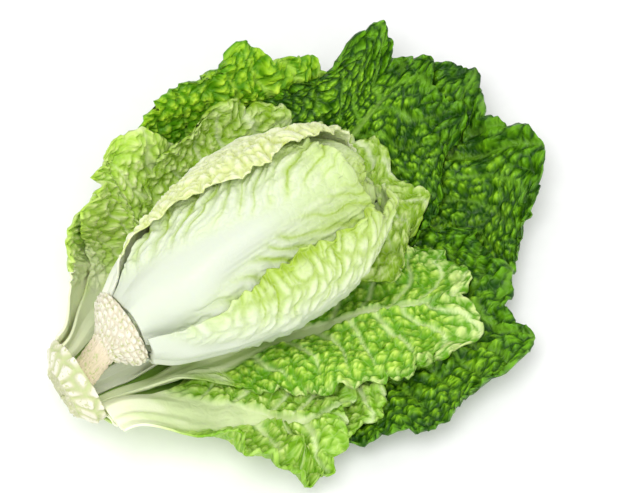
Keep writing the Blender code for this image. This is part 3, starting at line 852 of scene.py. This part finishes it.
BOWL_BASE_RADIUS = 0.0325
BOWL_FLARE = 0.028
BOWL_BASE_LIFT = 0.0375
BOWL_END_LIFT = 0.050
BACK_SLOPE = radians(56)
FRONT_SLOPE = radians(17)
BASE_SLOPE_BACK = radians(105)
BASE_SLOPE_FRONT = radians(52)
STALK_START_X = -0.0404
LAYER_GAP = 0.0008
OUTER_RIB = 0.0024
THIN_STALK_RIB = 0.18
PRESSED_FLAT_BELOW = 0.048
FREE_ABOVE = 0.082
LOBE_DEPTH = 0.04
LOBE_SPACING = 0.013
SIDES_DRAWN_BACK = 0.13
TIP_SCALLOP = 0.020
RUFFLE_SPACING = 0.0085
FLAT_SPOT_X = (0.055, 0.165)
FLAT_SPOT_HALF_WIDTH = 0.016
REST_CLEARANCE = 0.0006

# The shown leaves' finer form: scallops and roundness of the outline, then heights and spacings
# of folds, blisters and frilled edges
EDGE_SCALLOP = 0.0034
SCALLOP_SPACING = 0.021
BLUNT_TIP = 0.040
FULL_CORNERS = 0.035
ROUND_CORNERS = 0.040
TIP_FULLNESS = 0.14
FOLD_HEIGHT = 0.0055
SWAY_HEIGHT = 0.0030
SWAY_SPACING = 0.035
BLISTER_LENGTH = 0.0105
BLISTER_WIDTH = 0.0095
BLISTER_HEIGHT = 0.0030
SMALL_BLISTER_LENGTH = 0.0052
SMALL_BLISTER_WIDTH = 0.0048
SMALL_BLISTER_HEIGHT = 0.0012
SIDE_VEIN_SPACING = 0.026
SIDE_VEIN_LEAN = 0.80
BETWEEN_VEINS_HEIGHT = 0.0012
FRILL_HEIGHT = 0.0055
FRILL_SPACING = 0.0040
SMALL_FRILL_HEIGHT = 0.0020
SMALL_FRILL_SPACING = 0.0016

# From the lowest up: name, place of the stalk round the stem, heading of the tip in degrees,
# share of the length by which it is reached, length, half widths of the blade and of the stalk,
# where the blade starts to widen, rise towards the tip, ruffle height, ruffle phase
OUTER_LEAVES = (
    ("outer_leaf_far", -0.006, 4, 0.5, 0.382, 0.108, 0.014, 0.10, 0.004, 0.009, 0.4),
    ("outer_leaf_far_low", -0.032, -23, 0.6, 0.314, 0.086, 0.013, 0.10, 0.002, 0.009, 1.3),
    ("outer_leaf_back", 0.029, 30, 0.6, 0.310, 0.108, 0.014, 0.10, 0.006, 0.010, 1.8),
    ("outer_leaf_left", 0.062, 54, 0.7, 0.142, 0.056, 0.020, 0.10, 0.004, 0.008, 0.2),
    ("outer_leaf_bottom", -0.045, -72, 1.3, 0.206, 0.064, 0.013, 0.10, 0.002, 0.009, 5.6),
    ("outer_leaf_far_top", 0.017, 15, 0.5, 0.365, 0.088, 0.012, 0.10, 0.008, 0.010, 4.2),
    ("outer_leaf_top_left", 0.052, 45, 0.6, 0.205, 0.074, 0.016, 0.10, 0.006, 0.009, 4.4),
    ("outer_leaf_bottom_left", -0.058, -42, 0.7, 0.162, 0.054, 0.018, 0.06, 0.002, 0.009, 5.1),
    ("outer_leaf_right_low", -0.020, -26, 0.7, 0.288, 0.062, 0.011, 0.10, 0.006, 0.009, 0.9),
    ("middle_leaf_end", 0.002, 8, 0.6, 0.296, 0.072, 0.008, 0.50, 0.014, 0.009, 1.9),
    ("middle_leaf_back", 0.028, 38, 0.6, 0.270, 0.068, 0.010, 0.24, 0.022, 0.010, 2.8),
)
BOWL_X = np.linspace(-0.08, 0.40, 161)
BOWL_W = np.linspace(-0.28, 0.28, 281)


def bowl_surface():
    """The open bowl that the leaves lie over: flat in the middle, rising at the back."""
    x, across = np.meshgrid(BOWL_X, BOWL_W, indexing="ij")
    at_stem = 1.0 - smooth(x, -0.036, 0.060)
    wrap_radius = BOWL_BASE_RADIUS + BOWL_FLARE * smooth(x, -0.042, 0.010)
    back = across > 0
    steep = np.where(back, BACK_SLOPE, FRONT_SLOPE)
    steep = steep * (1.0 - 0.25 * smooth(x, 0.20, 0.34))
    opened = steep * smooth(np.abs(across), 0.036, 0.136)
    wrapped = np.abs(across) / wrap_radius
    wrapped = np.minimum(wrapped, np.where(back, BASE_SLOPE_BACK, BASE_SLOPE_FRONT))
    tilt = opened + (wrapped - opened) * at_stem
    step = BOWL_W[1] - BOWL_W[0]
    run = np.cos(tilt)
    rise = np.sin(tilt) * np.sign(across)
    middle = len(BOWL_W) // 2
    y = np.cumsum((run + np.roll(run, 1, axis=1)) / 2, axis=1) * step
    z = np.cumsum((rise + np.roll(rise, 1, axis=1)) / 2, axis=1) * step
    y = y - y[:, middle : middle + 1]
    z = z - z[:, middle : middle + 1]
    z = z + BOWL_END_LIFT * smooth(x, 0.20, 0.40) ** 1.2
    z = z + BOWL_BASE_LIFT * smooth(-x, -0.045, 0.040)
    points = np.stack((x, y, z), axis=-1)
    along = np.gradient(points, BOWL_X, axis=0)
    side = np.gradient(points, BOWL_W, axis=1)
    normals = np.cross(along, side)
    normals /= np.linalg.norm(normals, axis=-1, keepdims=True)
    return points, normals


BOWL_POINTS, BOWL_NORMALS = bowl_surface()


def sample(table, x, across):
    """Reads a table over the bowl between its points."""
    i = np.clip((x - BOWL_X[0]) / (BOWL_X[1] - BOWL_X[0]), 0, len(BOWL_X) - 1.001)
    j = np.clip((across - BOWL_W[0]) / (BOWL_W[1] - BOWL_W[0]), 0, len(BOWL_W) - 1.001)
    i0, j0 = i.astype(int), j.astype(int)
    fi, fj = i - i0, j - j0
    if table.ndim == 3:
        fi, fj = fi[..., None], fj[..., None]
    low = table[i0, j0] * (1 - fj) + table[i0, j0 + 1] * fj
    high = table[i0 + 1, j0] * (1 - fj) + table[i0 + 1, j0 + 1] * fj
    return low * (1 - fi) + high * fi


def bowl_point(x, across, height):
    normal = sample(BOWL_NORMALS, x, across)
    normal = normal / np.linalg.norm(normal, axis=-1, keepdims=True)
    return sample(BOWL_POINTS, x, across) + normal * height[..., None]


def inside_head_or_stem(points):
    """Whether points are inside the head's outside or the stem, with a little clearance."""
    x, y, z = points[..., 0], points[..., 1], points[..., 2]
    rise = z - HEAD_AXIS_HEIGHT
    part = np.clip(x / HEAD_LENGTH, 0.0, 1.0)
    core = outline_radius(np.clip(part * 0.97, 0.0, 1.0))
    outer = core + HEAD_LAYERS
    in_head = (y / outer) ** 2 + (rise / (outer - core * (1 - HEAD_FLATTENING))) ** 2 < 1.0
    in_head &= (x > -0.004) & (x < HEAD_LENGTH + HEAD_LAYERS)
    stem = np.hypot(y, z - stem_centre(x)) < stem_radius(x) + SCAR_RELIEF + NEIGHBOUR_GAP
    return in_head | (stem & (x > RING_FACE_X) & (x < 0.0))


def ceiling():
    """How high above the bowl a leaf may come before it meets the head or the stem."""
    steps = np.arange(0.0, 0.090, 0.0005)
    free = np.full(BOWL_POINTS.shape[:2], steps[-1])
    for step in steps[::-1]:
        free[inside_head_or_stem(BOWL_POINTS + BOWL_NORMALS * step)] = step
    return free - NEIGHBOUR_GAP


CEILING = ceiling()


def leaf_half_width(t, stalk, widest, widens_from):
    grown = stalk + (widest - stalk) * smooth(t, widens_from, 0.66 + 0.5 * (widens_from - 0.10))
    return grown * (1.0 - 0.24 * smooth(t, 0.62, 1.0))


def scalloped(place, seed):
    """Rounded lobes of uneven width with sharp notches between, from -1 to 1."""
    bent = place + 0.35 * rolling(place * 0.7, 0 * place + seed, seed)
    large = np.abs(np.sin(pi * bent + seed)) ** 0.5
    small = np.abs(np.sin(pi * 2.7 * bent + 2 * seed)) ** 0.7
    return 2.0 * (0.75 * large + 0.25 * small) - 1.0


def midrib_line(base_across, tip_heading, turned_by, length, t):
    """Places along a midrib that leaves the stem along X and turns towards its own side."""
    fine = np.linspace(0.0, 1.0, 400)
    heading = radians(tip_heading) * smooth(fine, 0.02, turned_by)
    step = length / 399
    x = STALK_START_X + np.concatenate(([0.0], np.cumsum(np.cos(heading[1:])))) * step
    across = base_across + np.concatenate(([0.0], np.cumsum(np.sin(heading[1:])))) * step
    return np.interp(t, fine, x), np.interp(t, fine, across), np.interp(t, fine, heading)


DARK_BLADE = leaf_material(
    "dark_green_blade",
    blade=(0.105, 0.315, 0.003), shade_colour=(0.012, 0.070, 0.001), pale_and_highlight=(0.32, 0.62, 0.020),
    vein_colour=(0.26, 0.50, 0.05), rib_colour=(0.46, 0.65, 0.16), rim_colour=(0.14, 0.38, 0.005),
    net_scale=150.0, net_show=0.08, bump=0.7, rough_low=0.32, rough_high=0.5,
)
MID_BLADE = leaf_material(
    "mid_green_blade",
    blade=(0.31, 0.60, 0.010), shade_colour=(0.09, 0.30, 0.002), pale_and_highlight=(0.60, 0.85, 0.06),
    vein_colour=(0.46, 0.68, 0.12), rib_colour=(0.62, 0.78, 0.28), rim_colour=(0.38, 0.66, 0.020),
    net_scale=150.0, net_show=0.12, bump=0.7, rough_low=0.32, rough_high=0.5,
)
GREEN_BLADE = leaf_material(
    "light_green_blade",
    blade=(0.42, 0.64, 0.07), shade_colour=(0.19, 0.42, 0.010), pale_and_highlight=(0.66, 0.83, 0.25),
    vein_colour=(0.66, 0.80, 0.36), rib_colour=(0.90, 0.95, 0.67), rim_colour=(0.44, 0.68, 0.12),
    net_scale=150.0, net_show=0.15, bump=0.6, rough_low=0.32, rough_high=0.5,
)
LOW_BLADE = leaf_material(
    "low_green_blade",
    blade=(0.34, 0.58, 0.036), shade_colour=(0.13, 0.36, 0.006), pale_and_highlight=(0.57, 0.78, 0.13),
    vein_colour=(0.66, 0.80, 0.34), rib_colour=(0.82, 0.90, 0.56), rim_colour=(0.68, 0.82, 0.30),
    net_scale=150.0, net_show=0.12, bump=0.5, rough_low=0.30, rough_high=0.48,
)
# Painted light: a brightened copy of the light green finish for the steep left leaves and their
# stalks, which sit in shade.
LEFT_PAINTED_LIGHT_BLADE = leaf_material(
    "left_painted_light_blade",
    blade=(0.66, 0.84, 0.24), shade_colour=(0.44, 0.68, 0.07), pale_and_highlight=(0.88, 0.96, 0.50),
    vein_colour=(0.78, 0.88, 0.50), rib_colour=(0.90, 0.95, 0.66), rim_colour=(0.62, 0.80, 0.22),
    net_scale=150.0, net_show=0.12, bump=0.5, rough_low=0.34, rough_high=0.5,
)
MIDDLE_BLADE = leaf_material(
    "middle_blade",
    blade=(0.52, 0.70, 0.15), shade_colour=(0.28, 0.48, 0.02), pale_and_highlight=(0.74, 0.86, 0.38),
    vein_colour=(0.76, 0.84, 0.50), rib_colour=(0.84, 0.87, 0.70), rim_colour=(0.62, 0.77, 0.27),
    net_scale=170.0, net_show=0.15, bump=0.5, rough_low=0.34, rough_high=0.5,
)


# For each leaf: material, slot, rows and columns of mesh, how far the midrib and the side veins
# show, and the share of its length that is pale stalk
OUTER_FINISH = {
    "outer_leaf_far": (DARK_BLADE, "dark_green_leaf", 210, 140, 0.5, 0.10, 0.22),
    "outer_leaf_far_low": (DARK_BLADE, "dark_green_leaf", 150, 110, 0.5, 0.12, 0.22),
    "outer_leaf_back": (MID_BLADE, "light_green_leaf", 200, 150, 0.5, 0.25, 0.22),
    "outer_leaf_left": (LEFT_PAINTED_LIGHT_BLADE, "light_green_leaf", 110, 90, 1.0, 0.5, 0.75),
    "outer_leaf_bottom": (GREEN_BLADE, "light_green_leaf", 150, 110, 0.8, 0.5, 0.25),
    "outer_leaf_far_top": (DARK_BLADE, "dark_green_leaf", 210, 130, 0.5, 0.10, 0.22),
    "outer_leaf_top_left": (LEFT_PAINTED_LIGHT_BLADE, "light_green_leaf", 150, 120, 0.9, 0.45, 0.45),
    "outer_leaf_bottom_left": (GREEN_BLADE, "light_green_leaf", 110, 90, 0.7, 0.5, 0.30),
    "outer_leaf_right_low": (LOW_BLADE, "light_green_leaf", 190, 120, 0.9, 0.5, 0.30),
    "middle_leaf_end": (MIDDLE_BLADE, "pale_leaf", 160, 110, 1.0, 0.5, 0.50),
    "middle_leaf_back": (MIDDLE_BLADE, "pale_leaf", 160, 120, 1.0, 0.5, 0.50),
}


def make_outer_leaf(entry, coarse_layers, layers, material, record_slot, rows, columns,
                    rib_show, vein_show, stalk_share):
    """One open leaf: settled on a coarse grid over the last one, then given its fine form."""
    name, base_across, tip_heading, turned_by, length, widest, stalk = entry[:7]
    widens_from, rise, ruffle_height, phase = entry[7:]
    rib = min(OUTER_RIB, THIN_STALK_RIB * stalk)

    def flat_place(t, v, fullness=0.0):
        half = leaf_half_width(t, stalk, widest, widens_from)
        half = half * (1.0 + fullness * smooth(t, 0.55, 0.95))
        scallop = TIP_SCALLOP * np.cos(8 * v + phase) * smooth(t, 0.7, 1.0)
        back = (SIDES_DRAWN_BACK * v * v * smooth(t, 0.35, 1.0) + scallop) * length
        lobe_wave = np.sin(t * length / LOBE_SPACING + phase) * smooth(t, 0.2, 0.5)
        lobes = 1.0 + LOBE_DEPTH * np.abs(v) ** 3 * lobe_wave
        x, across, heading = midrib_line(base_across, tip_heading, turned_by, length, t)
        return x, across, heading, half, back, half * v * lobes

    def laid_out(x, across, heading, back, offset):
        return (
            x - np.sin(heading) * offset - np.cos(heading) * back,
            across + np.cos(heading) * offset - np.sin(heading) * back,
        )

    t, v = leaf_shape(16, 11)
    x, across, heading, half, back, offset = flat_place(t, v)
    x, across = laid_out(x, across, heading, back, offset)
    thickness = BLADE_THICKNESS + rib_height(t, np.abs(half * v), stalk, rib)
    from_tip = (1.0 - t) * length + np.abs(v) * half
    wave = 0.5 + 0.5 * np.sin(from_tip / RUFFLE_SPACING + phase + 1.3 * v)
    room = sample(CEILING, x, across)
    lifted = rise * smooth(t, 0.25, 1.0) + ruffle_height * edge_nearness(t, v) * wave
    wanted = REST_CLEARANCE + lifted * smooth(room, PRESSED_FLAT_BELOW, FREE_ABOVE)
    roof = room - thickness
    wanted = np.minimum(wanted, np.maximum(roof, REST_CLEARANCE))
    height = coarse_layers.settle(x, across, wanted, LAYER_GAP)
    if name == OUTER_LEAVES[0][0]:
        spot = (x > FLAT_SPOT_X[0]) & (x < FLAT_SPOT_X[1])
        spot &= np.abs(across) < FLAT_SPOT_HALF_WIDTH
        thickness = np.where(spot, thickness + height, thickness)
        height = np.where(spot, 0.0, height)
    coarse_layers.fill(x, across, height + thickness)

    t, v = leaf_shape(rows, columns)
    form = soften(finer(height, t, v), max(rows // 30, 2))
    x, across, heading, half, back, offset = flat_place(t, v, TIP_FULLNESS)
    edge = edge_nearness(t, v)
    along = t * length
    from_tip = (1.0 - t) * length + np.abs(v) * half
    turn = 1.6 * rolling(from_tip / 0.03, v * 2, phase)
    notch = scalloped(from_tip / SCALLOP_SPACING, phase + 3 * np.sign(v))
    offset = offset + np.sign(v) * np.abs(v) ** 6 * EDGE_SCALLOP * notch * smooth(t, 0.15, 0.4)
    tip_notch = scalloped(offset / SCALLOP_SPACING, phase + 6)
    rounding = BLUNT_TIP * (1.0 - v * v) ** 2 - FULL_CORNERS * v * v
    rounding = rounding * length * smooth(t, 0.55, 1.0)
    back = back + rounding - EDGE_SCALLOP * tip_notch * smooth(t, 0.85, 1.0)
    corner = v**4 * smooth(t, 0.84, 1.0)
    back = back + ROUND_CORNERS * length * corner * v**4
    offset = offset * (1.0 - 0.12 * corner)
    side = np.abs(offset)
    x, across = laid_out(x, across, heading, back, offset)
    rib_half = 0.0010 + stalk * (1.0 - 0.90 * smooth(t, 0.0, 0.85))
    white_rib = 1.0 - smooth(side, 0.75 * rib_half, 1.25 * rib_half + 0.001)
    white_rib = white_rib * (1.0 - smooth(t, 0.80, 0.94))
    wobble = 0.28 * rolling(offset / 0.03, along / 0.035, phase + 1)
    lateral = (along - SIDE_VEIN_LEAN * side) / SIDE_VEIN_SPACING + wobble + 0.5 * (v > 0)
    off_lateral = np.abs(lateral - np.round(lateral)) * SIDE_VEIN_SPACING
    vein_half = 0.0008 + 0.0018 * (1.0 - smooth(side / half, 0.0, 0.9))
    lateral_vein = np.exp(-((off_lateral / vein_half) ** 2))
    lateral_vein = lateral_vein * (1.0 - smooth(side / half, 0.6, 0.95)) * smooth(t, 0.08, 0.22)
    bend = 0.5 * rolling(offset / 0.02, along / 0.02, phase + 5)
    leant = (along - 0.5 * side) / BLISTER_LENGTH + bend
    net = blisters(leant, offset / BLISTER_WIDTH - bend, phase + 3)
    small_place = along / SMALL_BLISTER_LENGTH + 2 * bend
    fine_net = blisters(small_place, offset / SMALL_BLISTER_WIDTH, phase + 7)
    open_blade = (1.0 - white_rib) * smooth(half, 0.016, 0.04)
    puffed = (1.0 - 0.9 * lateral_vein) * open_blade
    detail = BLISTER_HEIGHT * net + SMALL_BLISTER_HEIGHT * fine_net
    detail = puffed * (detail + BETWEEN_VEINS_HEIGHT * smooth(off_lateral, 0, 0.010))
    fold = 1.0 - np.abs(rolling(offset / 0.030 + bend, along / 0.024 - bend, phase + 15))
    swell = rolling(offset / SWAY_SPACING, along / SWAY_SPACING, phase + 11) + 1.0
    sway = SWAY_HEIGHT * swell * open_blade
    sway = sway + FOLD_HEIGHT * fold**2.5 * open_blade * smooth(t, 0.25, 0.6)
    large_frill = 0.5 + 0.5 * np.sin(from_tip / FRILL_SPACING + turn)
    small_frill = 0.5 + 0.5 * np.sin(from_tip / SMALL_FRILL_SPACING + 2.2 * turn)
    frill = edge**2 * (FRILL_HEIGHT * large_frill + SMALL_FRILL_HEIGHT * small_frill)
    room = sample(CEILING, x, across)
    free = smooth(room, PRESSED_FLAT_BELOW, FREE_ABOVE)
    height = form + (detail + (sway + frill) * free) * smooth(t, 0.10, 0.24)
    thickness = SHOWN_THICKNESS + rib_height(t, side, stalk, rib)
    roof = room - thickness
    height = np.minimum(height, np.maximum(roof, form))
    height = layers.drape(x, across, height, DRAPE_GAP)
    if name == OUTER_LEAVES[0][0]:
        spot = smooth(x, FLAT_SPOT_X[0] - 0.01, FLAT_SPOT_X[0] + 0.005)
        spot = spot * (1.0 - smooth(x, FLAT_SPOT_X[1] - 0.005, FLAT_SPOT_X[1] + 0.01))
        spot = spot * (1.0 - smooth(np.abs(across), FLAT_SPOT_HALF_WIDTH, 0.024))
        thickness = thickness + height * spot
        height = height * (1.0 - spot)
    layers.fill(x, across, height + thickness, 3)
    lower = bowl_point(x, across, lowest_near(height))
    upper = bowl_point(x, across, height + thickness)
    # Painted shade between the blisters and in the fold valleys.
    shade_in_creases = ((1.0 - net) ** 1.6 + 0.5 * (1.0 - fine_net) ** 2) * puffed
    shade_in_creases = shade_in_creases + 0.45 * (1.0 - smooth(fold, 0.25, 0.60)) * open_blade
    uneven_end = t + 0.12 * rolling(v * 3, along / 0.02, phase)
    stalk_white = 1.0 - smooth(uneven_end, 0.3 * stalk_share, stalk_share)
    veins = np.maximum(white_rib * rib_show, lateral_vein * vein_show)
    # The highlight mask is painted highlight on the blister tops.
    masks = {
        "vein": np.clip(np.maximum(veins, stalk_white), 0, 1),
        "painted_crease_shade": np.clip(shade_in_creases, 0, 1),
        "rim": smooth(edge, 0.75, 1.0),
        "painted_highlight": net * fine_net * puffed,
    }
    add_leaf(name, lower, upper, offset, along, masks, material)


coarse_bowl = Layers((-0.08, -0.28), (0.40, 0.28), 0.002, False)
fine_bowl = Layers((-0.08, -0.28), (0.40, 0.28), 0.0016, False)
for entry in OUTER_LEAVES:
    make_outer_leaf(entry, coarse_bowl, fine_bowl, *OUTER_FINISH[entry[0]])


# Floor, light and camera
# A plain pale surface under soft studio light: large lamps above, in front and at the left, and
# pale surroundings. The camera looks down along the cabbage from its cut end.

FLOOR_SIZE = 6.0
PHOTO_WIDTH_PX = 622
# Pixels a metre
PHOTO_SCALE = 1445.0
CAMERA_AZIMUTH = radians(-36)
CAMERA_ELEVATION = radians(64)
PHOTO_SHIFT_PX = (-3.0, 9.0)
CAMERA_LENS = 150.0
SENSOR = 36.0
TARGET = (0.0, 0.0, 0.05)
WORLD_BRIGHTNESS = 0.84

# Name, place, width and power of each lamp
LAMPS = (
    ("top_lamp", (-0.35, -0.25, 1.5), 0.65, 9.5),
    ("front_lamp", (-0.2, -1.5, 1.1), 1.4, 7.5),
    ("left_lamp", (-1.5, 0.2, 0.9), 1.2, 4.0),
)


def build_floor():
    half = FLOOR_SIZE / 2
    mesh = bpy.data.meshes.new("floor")
    mesh.from_pydata([(-half, -half, 0), (half, -half, 0), (half, half, 0), (-half, half, 0)], [],
                     [(0, 1, 2, 3)])
    material, tree, shader = node_material("floor_white")
    flesh = use_group(tree, PLANT_FLESH, Place=object_place(tree), Grain_Scale=500.0)
    colour = mix_colours(tree, flesh.outputs["Mottle"], (0.90, 0.90, 0.90), (0.92, 0.92, 0.92))
    tree.links.new(colour, shader.inputs["Base Color"])
    shader.inputs["Roughness"].default_value = 0.9
    mesh.materials.append(material)
    floor = bpy.data.objects.new("floor", mesh)
    bpy.context.scene.collection.objects.link(floor)


def add_lamp(name, place, aim, size, power):
    lamp = bpy.data.lights.new(name, "AREA")
    lamp.shape = "DISK"
    lamp.size = size
    lamp.energy = power
    thing = bpy.data.objects.new(name, lamp)
    thing.location = place
    away = Vector(place) - Vector(aim)
    thing.rotation_euler = away.to_track_quat("Z", "Y").to_euler()
    bpy.context.scene.collection.objects.link(thing)


build_floor()
for lamp_name, lamp_place, lamp_size, lamp_power in LAMPS:
    add_lamp(lamp_name, lamp_place, TARGET, lamp_size, lamp_power)
world = bpy.data.worlds.new("studio")
world.use_nodes = True
world.node_tree.nodes["Background"].inputs["Color"].default_value = (1.0, 1.0, 1.0, 1.0)
world.node_tree.nodes["Background"].inputs["Strength"].default_value = WORLD_BRIGHTNESS
bpy.context.scene.world = world
bpy.context.scene.view_settings.view_transform = "Standard"

camera_data = bpy.data.cameras.new("camera")
camera_data.lens = CAMERA_LENS
camera_data.sensor_width = SENSOR
camera_data.sensor_fit = "HORIZONTAL"
camera = bpy.data.objects.new("camera", camera_data)
back = Vector(
    (
        sin(CAMERA_AZIMUTH) * cos(CAMERA_ELEVATION),
        -cos(CAMERA_AZIMUTH) * cos(CAMERA_ELEVATION),
        sin(CAMERA_ELEVATION),
    )
)
distance = PHOTO_WIDTH_PX / PHOTO_SCALE / (SENSOR / CAMERA_LENS)
right = Vector((cos(CAMERA_AZIMUTH), sin(CAMERA_AZIMUTH), 0.0))
up = back.cross(right)
shift_right = PHOTO_SHIFT_PX[0] / PHOTO_SCALE
shift_up = PHOTO_SHIFT_PX[1] / PHOTO_SCALE
aim = Vector(TARGET) - right * shift_right + up * shift_up
camera.location = aim + back * distance
camera.rotation_euler = back.to_track_quat("Z", "Y").to_euler()
camera_data.clip_end = 50.0
bpy.context.scene.collection.objects.link(camera)
bpy.context.scene.camera = camera
